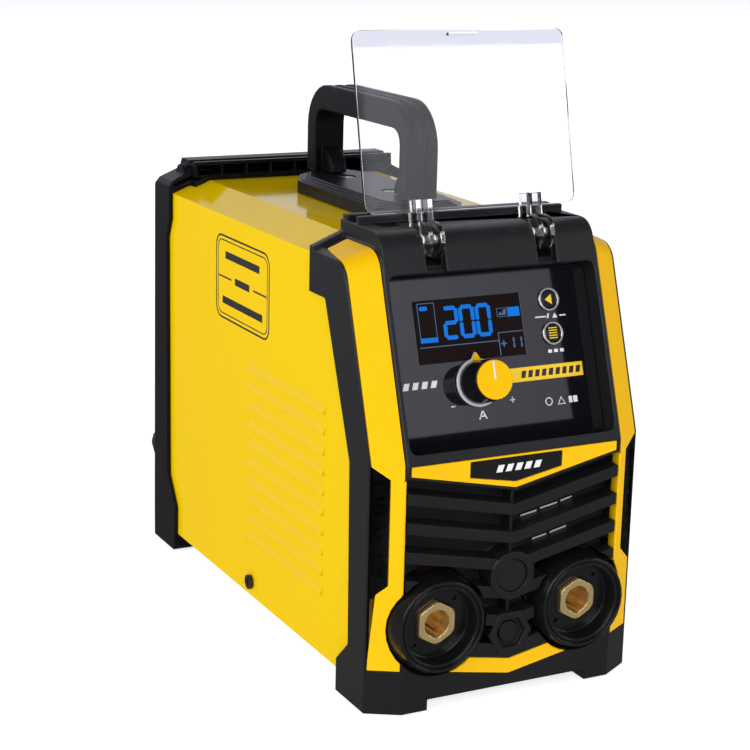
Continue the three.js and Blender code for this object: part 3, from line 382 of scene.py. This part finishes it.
# colour, roughness, and what else a finish needs
HARD_FINISHES = {
    "black_nylon": ((0.0085, 0.0090, 0.0115), 0.40, {
        "drift_colour": (0.006, 0.0063, 0.008), "edge_colour": (0.030, 0.032, 0.040),
        "relief": 0.00003, "dust": 0.02, "specular": 0.38}),
    "dark_nylon": ((0.0032, 0.0034, 0.0048), 0.36, {
        "edge_colour": (0.018, 0.020, 0.026), "relief": 0.00003, "dust": 0.01, "specular": 0.13}),
    "black_gloss": ((0.006, 0.006, 0.007), 0.20, {
        "edge_colour": (0.03, 0.03, 0.034), "relief": 0.00001, "specular": 0.45}),
    "soft_rubber": ((0.006, 0.006, 0.007), 0.60, {
        "edge_colour": (0.022, 0.024, 0.030), "relief": 0.00006, "grain": 900.0, "dust": 0.02,
        "specular": 0.25}),
    "yellow_trim": ((0.85, 0.475, 0.0), 0.36, {
        "drift_colour": (0.82, 0.455, 0.0), "edge_colour": (0.92, 0.56, 0.03),
        "relief": 0.00001, "wear": 1.0, "specular": 0.13}),
    "yellow_paint": ((0.80, 0.53, 0.0), 0.09, {
        "drift_colour": (0.77, 0.51, 0.0), "edge_colour": (0.88, 0.63, 0.04),
        "grain": 520.0, "relief": 0.00001, "wear": 1.2, "specular": 0.12}),
    "fascia_film": ((0.006, 0.006, 0.008), 0.02, {
        "edge_colour": (0.05, 0.05, 0.055), "relief": 0.0, "drift": 40.0, "specular": 0.6}),
    "display_glass": ((0.010, 0.005, 0.004), 0.10, {
        "drift_colour": (0.006, 0.003, 0.003), "edge_colour": (0.04, 0.03, 0.03),
        "relief": 0.0, "drift": 60.0, "specular": 0.05}),
    "bright_plate": ((0.80, 0.79, 0.76), 0.20, {
        "edge_colour": (0.95, 0.95, 0.93), "metallic": 1.0, "relief": 0.000004, "drift": 60.0}),
    "satin_plate": ((0.62, 0.63, 0.66), 0.40, {"metallic": 0.3, "relief": 0.000004, "drift": 60.0}),
    "turned_brass": ((0.95, 0.74, 0.36), 0.26, {
        "drift_colour": (0.86, 0.62, 0.26), "edge_colour": (0.98, 0.86, 0.55),
        "metallic": 0.85, "grain": 2600.0, "relief": 0.00001, "drift": 70.0, "wear": 3.0}),
    "plated_steel": ((0.55, 0.55, 0.56), 0.33, {"metallic": 1.0, "grain": 2400.0, "drift": 70.0}),
    "zinc_sheet": ((0.60, 0.61, 0.62), 0.42, {"metallic": 0.9, "grain": 400.0, "drift": 45.0}),
    "drawn_aluminium": ((0.66, 0.67, 0.69), 0.36, {"metallic": 1.0, "grain": 1800.0}),
    "copper_strip": ((0.78, 0.40, 0.24), 0.30, {"metallic": 1.0, "grain": 1800.0}),
    "board_green": ((0.03, 0.17, 0.07), 0.40, {"drift": 80.0}),
    "ferrite_black": ((0.035, 0.035, 0.038), 0.62, {"relief": 0.00006}),
    "enamelled_wire": ((0.50, 0.21, 0.08), 0.32, {"metallic": 0.7, "grain": 1200.0}),
    # white for print, and also for the painted light dashes on the wall behind the slats
    "print_white": ((0.80, 0.80, 0.80), 0.45, {"relief": 0.000004, "wear": 0.0}),
    "print_yellow": ((0.93, 0.60, 0.02), 0.42, {"relief": 0.000004, "wear": 0.0}),
    "print_black": ((0.015, 0.015, 0.016), 0.5, {"relief": 0.000004, "wear": 0.0}),
}

FINISHES = {name: finish_of(name, colour, rough, **more)
            for name, (colour, rough, more) in HARD_FINISHES.items()}
FINISHES["clear_acrylic"] = clear_acrylic()
FINISHES["display_blue"] = lit_segment("display_blue", (0.008, 0.20, 0.80), 1.0)
FINISHES["display_pale"] = lit_segment("display_pale", (0.10, 0.20, 0.36), 0.8)


# ---------- piece helpers ----------

def piece_from(bm, name, material, body):
    """A finished object from a bmesh; it rides on a body unless it is part of the stage."""
    mesh = bpy.data.meshes.new(name)
    bm.to_mesh(mesh)
    bm.free()
    made = bpy.data.objects.new(name, mesh)
    mesh.materials.append(material)
    bpy.context.scene.collection.objects.link(made)
    if body:
        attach(made, body)
    return made


# Flat marks are drawn in the plane of the face they lie on: across, depth in, and height, in millimetres.

def panel_matrix():
    """The leaning control panel; its depth is from the bezel's rim."""
    tilt = Matrix.Rotation(-LEAN, 4, "X")
    return Matrix.Scale(MM, 4) @ Matrix.Translation((0, FRONT_Y, PANEL_FOOT_Z)) @ tilt


def front_matrix():
    """The upright front, with its depth from the front plane."""
    return Matrix.Scale(MM, 4) @ Matrix.Translation((0, FRONT_Y, 0))


def left_matrix():
    """The left wall of the housing: across is towards the rear from the front plane."""
    swapped = Matrix(((0, 1, 0, -SHEET_X), (1, 0, 0, FRONT_Y), (0, 0, 1, 0), (0, 0, 0, 1)))
    return Matrix.Scale(MM, 4) @ swapped


def raised_shape(bm, corners, depth0, depth1):
    """A flat outline given a thickness, from depth1 out to depth0."""
    face = bm.faces.new([bm.verts.new((x, depth1, height)) for x, height in corners])
    thicken(bm, [face], depth0 - depth1)


def raised_frame(bm, outer, inner, depth0, depth1):
    """The band between two outlines with the same number of corners."""
    edges = []
    for outline in (outer, inner):
        ring = [bm.verts.new((x, depth1, height)) for x, height in outline]
        edges += [bm.edges.new((ring[i - 1], ring[i])) for i in range(len(ring))]
    faces = bmesh.ops.bridge_loops(bm, edges=edges)["faces"]
    thicken(bm, faces, depth0 - depth1)


def thicken(bm, faces, distance):
    grown = bmesh.ops.extrude_face_region(bm, geom=faces, use_keep_orig=True)
    moved = [g for g in grown["geom"] if isinstance(g, bmesh.types.BMVert)]
    bmesh.ops.translate(bm, vec=(0, distance, 0), verts=moved)


def marks(name, shapes, depth0, depth1, finish, body="machine", plane=panel_matrix, frames=(), slot=None):
    """One piece made of flat marks on a face."""
    bm = bmesh.new()
    for corners in shapes:
        raised_shape(bm, corners, depth0, depth1)
    for outer, inner in frames:
        raised_frame(bm, outer, inner, depth0, depth1)
    bmesh.ops.transform(bm, matrix=plane(), verts=bm.verts)
    bmesh.ops.recalc_face_normals(bm, faces=bm.faces)
    made = piece_from(bm, name, FINISHES[finish], body)
    return made


def bar(x0, x1, s0, s1, slant=0.0):
    return [(x0, s0), (x1, s0), (x1 + slant, s1), (x0 + slant, s1)]


def framed(x0, x1, s0, s1, line):
    """An outline and the same one a line's width inside it."""
    return bar(x0, x1, s0, s1), bar(x0 + line, x1 - line, s0 + line, s1 - line)


def rounded_corners(x0, x1, s0, s1, radius, steps=5):
    points = []
    for cx, cs, start in ((x1 - radius, s1 - radius, 0), (x0 + radius, s1 - radius, 90),
                          (x0 + radius, s0 + radius, 180), (x1 - radius, s0 + radius, 270)):
        for step in range(steps + 1):
            turn = math.radians(start + 90 * step / steps)
            points.append((cx + radius * math.cos(turn), cs + radius * math.sin(turn)))
    return points


def ring_of(x, s, radius, sides=20):
    return [(x + radius * math.cos(2 * math.pi * i / sides), s + radius * math.sin(2 * math.pi * i / sides))
            for i in range(sides)]


def stroke(x0, s0, x1, s1, width):
    """A bar from one point to another with its ends brought to a blunt point."""
    along = Vector((x1 - x0, s1 - s0)).normalized()
    side = Vector((-along.y, along.x)) * width / 2
    start, end = Vector((x0, s0)), Vector((x1, s1))
    nip = along * width * 0.32
    blunt = side * 0.45
    return [tuple(p) for p in (start - blunt, start + nip - side, end - nip - side, end - blunt,
                               end + blunt, end - nip + side, start + nip + side, start + blunt)]


# which of a digit's seven strokes are lit: top, upper right, lower right, bottom, lower left,
# upper left, middle
DIGITS = {"0": (1, 1, 1, 1, 1, 1, 0), "1": (0, 1, 1, 0, 0, 0, 0), "2": (1, 1, 0, 1, 1, 0, 1)}


def seven_strokes(digit, x, s, width, height, line):
    half = line / 2
    left, right, low, high = x + half, x + width - half, s + half, s + height - half
    middle, gap = (low + high) / 2, line * 0.12
    ends = ((left + gap, high, right - gap, high), (right, high - gap, right, middle + gap),
            (right, middle - gap, right, low + gap), (left + gap, low, right - gap, low),
            (left, middle - gap, left, low + gap), (left, high - gap, left, middle + gap),
            (left + gap, middle, right - gap, middle))
    return [stroke(*four, line) for lit, four in zip(DIGITS[digit], ends) if lit]


def finished_copy(node_name, finish, width, segments=2, sharp=30, body="machine"):
    """A copy of a CAD node with its loose triangles joined and its edges rounded."""
    bm = bmesh.new()
    bm.from_mesh(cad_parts[node_name].data)
    bmesh.ops.remove_doubles(bm, verts=bm.verts, dist=1e-6)
    bmesh.ops.dissolve_limit(bm, angle_limit=math.radians(0.5), verts=bm.verts, edges=bm.edges)
    for face in bm.faces:
        face.smooth = True
    made = piece_from(bm, node_name + "_finished", FINISHES[finish], body)
    if width:
        rounding = made.modifiers.new("edge_rounding", "BEVEL")
        rounding.limit_method = "ANGLE"
        rounding.angle_limit = math.radians(sharp)
        rounding.width = width * MM
        rounding.segments = segments
        rounding.use_clamp_overlap = False
    else:
        made.data.set_sharp_from_angle(angle=math.radians(sharp))
    shading = made.modifiers.new("face_shading", "WEIGHTED_NORMAL")
    shading.keep_sharp = True
    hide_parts(node_name)
    return made


def paint_nodes(finish, *names):
    for name in names:
        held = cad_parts[name]
        held.data.materials.clear()
        held.data.materials.append(FINISHES[finish])


set_camera()
set_light()
lay_floor()
hang_backdrop()
fascia_plane = panel_matrix() @ Matrix.Translation((0, PANEL_DEPTH, 0))
lit_part = [(-60, 13), (39.5, 13), (37, 87.5), (-60, 87.5)]
whole_recess = [(-80, -10), (80, -10), (80, 110), (-80, 110)]
mirrored_card("fascia_card", fascia_plane, lit_part, 1200, 1.30, 0.95)
mirrored_card("fascia_dark_card", fascia_plane, whole_recess, 1300, 0.0, 0.0)

# ---------- front ----------

SIDES = ("left", "right")
finished_copy("front_panel", "black_nylon", 0.35)
for side in SIDES:
    finished_copy(side + "_corner_trim", "yellow_trim", 0.4)
    finished_copy(side + "_grip_insert", "soft_rubber", 0.3)
    finished_copy(side + "_socket_body", "black_gloss", 0.3)
    finished_copy(side + "_socket_brass", "turned_brass", 0.25)
    paint_nodes("copper_strip", side + "_bus_bar")
    finished_copy(side + "_hinge_pin", "clear_acrylic", 0.15)
    finished_copy(side + "_side_screw", "black_gloss", 0.1)
    paint_nodes("drawn_aluminium", side + "_heatsink")
finished_copy("upper_band", "yellow_trim", 0.3)
finished_copy("lower_band", "yellow_trim", 0.3)
finished_copy("name_plate", "black_gloss", 0.3)
finished_copy("remote_port_plug", "black_nylon", 0.3)
finished_copy("gas_port_plug", "black_nylon", 0.3)

# ---------- control panel ----------

finished_copy("control_fascia", "fascia_film", 0)
finished_copy("display_window", "display_glass", 0)
for word in ("mode", "menu"):
    finished_copy(word + "_button_ring", "bright_plate", 0.12)
    finished_copy(word + "_button", "black_gloss", 0.15, body=word + "_button_body")
finished_copy("knob_grip", "black_gloss", 0.25, body="knob")
finished_copy("knob_cap", "yellow_trim", 0.2, body="knob")
finished_copy("knob_skirt", "satin_plate", 0.2, body="knob")
paint_nodes("plated_steel", "encoder_shaft", "encoder_body")
paint_nodes("board_green", "control_board", "main_board")
paint_nodes("ferrite_black", "display_module")
finished_copy("clear_cover", "clear_acrylic", 0.25, body="cover")

# ---------- housing and handle ----------

finished_copy("housing_cover", "yellow_paint", 0.2, sharp=15)
paint_nodes("zinc_sheet", "chassis_tray")
finished_copy("handle_base", "dark_nylon", 0.5)
finished_copy("carry_handle", "dark_nylon", 0.9, segments=3)
for end in ("front", "rear"):
    finished_copy(end + "_handle_screw", "plated_steel", 0.2)

# ---------- rear ----------

finished_copy("rear_panel", "dark_nylon", 0.35)
finished_copy("fan_guard", "black_nylon", 0.3)
finished_copy("fan_rotor", "black_gloss", 0.2, body="fan")
finished_copy("power_switch_body", "black_gloss", 0.4)
finished_copy("power_rocker", "black_gloss", 0.5, body="rocker")
finished_copy("cable_gland", "black_nylon", 0.3)
finished_copy("gland_nut", "black_nylon", 0.3)
paint_nodes("black_nylon", "fan_frame")

# ---------- inside ----------

paint_nodes("ferrite_black", "left_capacitor", "right_capacitor", "transformer_core", "output_choke")
paint_nodes("enamelled_wire", "transformer_winding")
for place in ("front_left", "front_right", "rear_left", "rear_right"):
    finished_copy(place + "_foot_pad", "soft_rubber", 0.2)

# ---------- what shows through the openings, and painted light behind the slats ---

# closes the hairline round the fascia, which would let light through the case
marks("fascia_gasket", [], PANEL_DEPTH + 3.1, PANEL_DEPTH + 3.5, "soft_rubber", slot="black_plastic",
      frames=[(bar(-58.5, 58.5, 1.5, 92.0), bar(-53.5, 53.5, 8.5, 85.5))])

GRILLE_DEPTH = 12.0  # from the front plane in to the wall behind the slats
GLINT_TALL = 0.9


def glint(x0, z0, x1, z1):
    """A dash of painted light between two slats, given by the ends of its lower edge."""
    return [(x0, z0), (x1, z1), (x1, z1 + GLINT_TALL), (x0, z0 + GLINT_TALL)]


# painted light: pale dashes on the wall behind the slats, in two rows, standing in for the light that shows
# through the air slots
glints = [glint(10.7, 88.5, 19.9, 90.1), glint(21.8, 90.9, 31.6, 92.7), glint(33.6, 93.2, 40.0, 94.7),
          glint(18.0, 75.5, 26.1, 77.0), glint(28.1, 77.5, 37.6, 79.6)]
marks("slot_glints", glints, GRILLE_DEPTH - 0.06, GRILLE_DEPTH + 0.05, "print_white",
      plane=front_matrix, slot="black_plastic")

# ---------- display ----------

LCD = (PANEL_DEPTH - 0.06, PANEL_DEPTH + 0.05)  # lit marks stand just proud of the glass


def lit_marks(name, shapes, finish, frames=()):
    marks(name, shapes, *LCD, finish, frames=frames, slot="display_glass")


amps = []
for digit, x in zip("200", (-25.9, -16.9, -7.8)):
    amps += seven_strokes(digit, x, 57.4, 8.6, 16.2, 2.0)
lit_marks("display_amps", amps, "display_blue")
lit_marks("display_level_bar", [bar(-39.0, -29.6, 56.9, 59.2)], "display_blue")
lit_marks("display_level_pill", [rounded_corners(-37.9, -33.5, 72.3, 74.3, 0.9)], "display_blue")
lit_marks("display_level_outline", [bar(-39.0, -38.65, 59.2, 75.9), bar(-30.0, -29.65, 59.2, 75.9),
                                    bar(-38.65, -30.0, 75.55, 75.9)], "display_pale")
lit_marks("display_mode_block", [bar(10.5, 16.9, 65.9, 70.4)], "display_blue")
icon_blocks = [bar(5.2, 9.2, 66.9, 67.8), bar(5.6, 6.4, 67.8, 68.4), bar(7.4, 9.2, 67.8, 68.9),
               bar(8.0, 9.6, 68.9, 69.6)]
lit_marks("display_mode_icon", icon_blocks, "display_pale", frames=[framed(4.2, 10.3, 66.0, 70.4, 0.25)])
rules = [bar(-39.9, 3.4, 54.5, 54.95), bar(3.4, 3.85, 47.5, 58.7), bar(3.85, 17.5, 58.3, 58.7)]
lit_marks("display_rules", rules, "display_pale")
offset = [bar(4.6, 7.6, 52.7, 53.4), bar(5.75, 6.45, 51.4, 54.7)]
for x in (8.6, 12.9):
    offset += seven_strokes("1", x, 50.0, 3.6, 6.2, 0.9)
lit_marks("display_offset", offset, "display_pale")

# ---------- marks on the fascia ----------

FILM = (PANEL_DEPTH - 0.05, PANEL_DEPTH + 0.05)


def printed(name, shapes, finish="print_white", frames=(), slot="fascia_plastic"):
    marks(name, shapes, *FILM, finish, frames=frames, slot=slot)


printed("fascia_stripe", [bar(-0.5, 48.9, 33.6, 40.6)], "print_yellow", slot="yellow_plastic")
stripe_bars = [bar(13.2 + 3.9 * i, 15.6 + 3.9 * i, 35.4, 38.8, 0.9) for i in range(9)]
marks("fascia_stripe_bars", stripe_bars, PANEL_DEPTH - 0.09, PANEL_DEPTH - 0.03, "print_black",
      slot="fascia_plastic")
printed("current_letter", [[(-12.9, 17.9), (-12.1, 17.9), (-10.1, 22.1), (-10.9, 22.1)],
                           [(-8.1, 17.9), (-8.9, 17.9), (-10.9, 22.1), (-10.1, 22.1)],
                           bar(-11.9, -9.2, 19.0, 19.6)])
printed("less_mark", [bar(-27.2, -25.0, 25.2, 25.8)])
printed("more_mark", [bar(5.5, 8.3, 25.2, 25.8), bar(6.6, 7.2, 24.1, 26.9)])
printed("maker_blank_marks", [bar(-52 + 5.0 * i, -49 + 5.0 * i, 35.4, 38.8, 1.2) for i in range(4)])
printed("mode_label", [bar(25.4, 31.6, 63.8, 64.5), bar(31.9, 32.9, 63.2, 65.6, 0.8),
                       [(35.2, 63.2), (38.2, 63.2), (36.7, 65.7)], bar(39.4, 43.0, 63.8, 64.5)])
printed("menu_label", [bar(30.4 + 3.4 * i, 32.6 + 3.4 * i, 46.2, 47.9) for i in range(3)])
triangle_out = [(32.0, 20.6), (36.6, 20.6), (34.3, 24.6)]
triangle_in = [(32.7, 21.0), (35.9, 21.0), (34.3, 23.8)]
printed("approval_blank_marks", [bar(38.6, 40.6, 20.9, 24.1), bar(41.2, 43.6, 20.9, 24.1)],
        frames=[(triangle_out, triangle_in), (ring_of(27.2, 22.6, 2.1), ring_of(27.2, 22.6, 1.55))])

# ---------- marks that move with the buttons and the knob ----------

BUTTON_FACE = (PANEL_DEPTH - 0.96, PANEL_DEPTH - 0.85)  # where the marks on both buttons start and end
BUTTON_X = 34.0
MODE_S, MENU_S = 72.4, 55.6
triangle = [(BUTTON_X - 2.4, MODE_S), (BUTTON_X + 1.5, MODE_S - 2.6), (BUTTON_X + 1.5, MODE_S + 2.6)]
marks("mode_button_mark", [triangle], *BUTTON_FACE, "print_yellow",
      body="mode_button_body", slot="yellow_plastic")
line_feet = [MENU_S - 2.6 + 1.25 * i for i in range(5)]
lines = [bar(BUTTON_X - 2.4, BUTTON_X + 2.4, foot, foot + 0.6) for foot in line_feet]
marks("menu_button_mark", lines, *BUTTON_FACE, "print_yellow",
      body="menu_button_body", slot="yellow_plastic")
cap_line = bar(KNOB_X - 0.5, KNOB_X + 0.5, KNOB_S + 0.2, KNOB_S + 9.0)
marks("knob_cap_line", [cap_line], CAP_FRONT - 0.06, CAP_FRONT + 0.05, "print_white",
      body="knob", slot="yellow_plastic")
pointer = [(KNOB_X - 2.3, KNOB_S + 10.6), (KNOB_X + 2.3, KNOB_S + 10.6), (KNOB_X, KNOB_S + 14.6)]
marks("knob_pointer", [pointer], 7.2, 8.42, "yellow_trim", body="knob", slot="yellow_plastic")

# ---------- name plate and side label, left without a name ----------

marks("name_plate_bars", [bar(-11.5 + 5.2 * i, -8.1 + 5.2 * i, 117.2, 120.8, 1.3) for i in range(5)],
      -0.06, 0.05, "print_white", plane=front_matrix, slot="black_plastic")
LABEL = (129.0, 200.0, 157.0, 203.0)


def label_border(inset, line, radius):
    y0, y1, z0, z1 = (LABEL[0] + inset, LABEL[1] - inset, LABEL[2] + inset, LABEL[3] - inset)
    return (rounded_corners(y0, y1, z0, z1, radius),
            rounded_corners(y0 + line, y1 - line, z0 + line, z1 - line, radius - line))


label_rows = [bar(142, 187, 190.5, 194.5), bar(155, 174, 178.2, 182.0), bar(138, 191, 165.5, 169.5),
              bar(133, 150, 179.6, 180.5), bar(179, 196, 179.6, 180.5)]
marks("side_label", label_rows, -0.08, 0.05, "print_black", plane=left_matrix, slot="black_plastic",
      frames=[label_border(0, 1.0, 7), label_border(2.6, 0.6, 5)])
